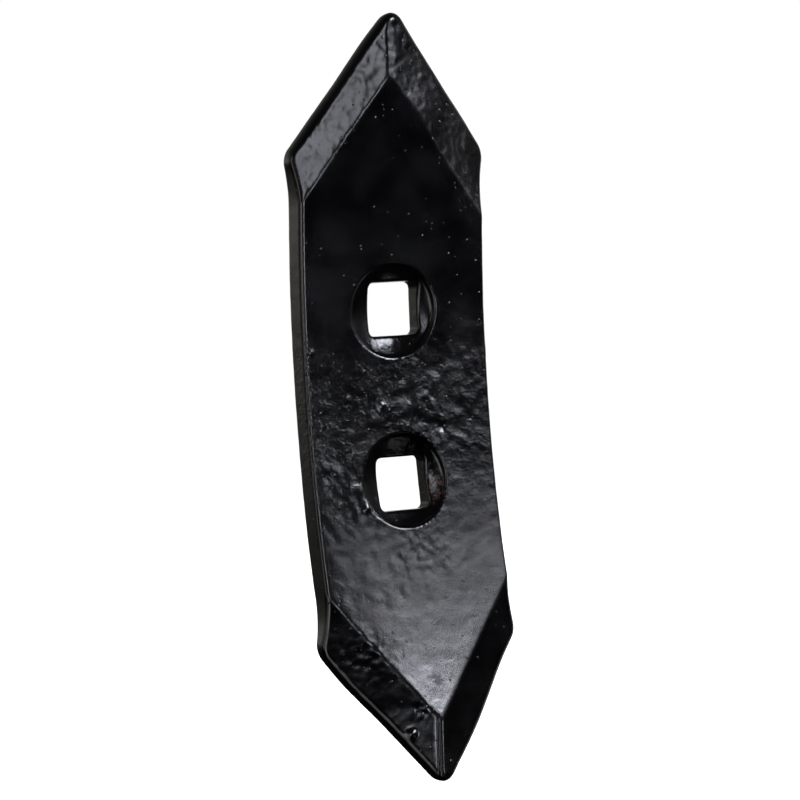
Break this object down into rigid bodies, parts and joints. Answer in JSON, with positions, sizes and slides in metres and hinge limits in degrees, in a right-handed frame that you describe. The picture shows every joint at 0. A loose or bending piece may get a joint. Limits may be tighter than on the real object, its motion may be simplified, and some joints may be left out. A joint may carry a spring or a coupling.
{
  "type": "cultivator point",
  "caption": "Reversible forged cultivator point: a bowed flat blade with bevelled arrow tips at its ends and round recesses with square holes for plough bolts.",
  "frame": {"origin": "on the back (seat) face, halfway along the blade and between the two bolt holes", "axes": "+Z along the blade from one tip to the other, +X across its width, -Y out of the recessed front face, which is the side that the bolt heads sit in and that meets the soil"},
  "size_m": [0.0576, 0.0205, 0.2],
  "materials": {
    "black_paint": "gloss black dip paint over forging scale"
  },
  "bodies": {
    "root": {"point_body": "black_paint"}
  },
  "joints": []
}
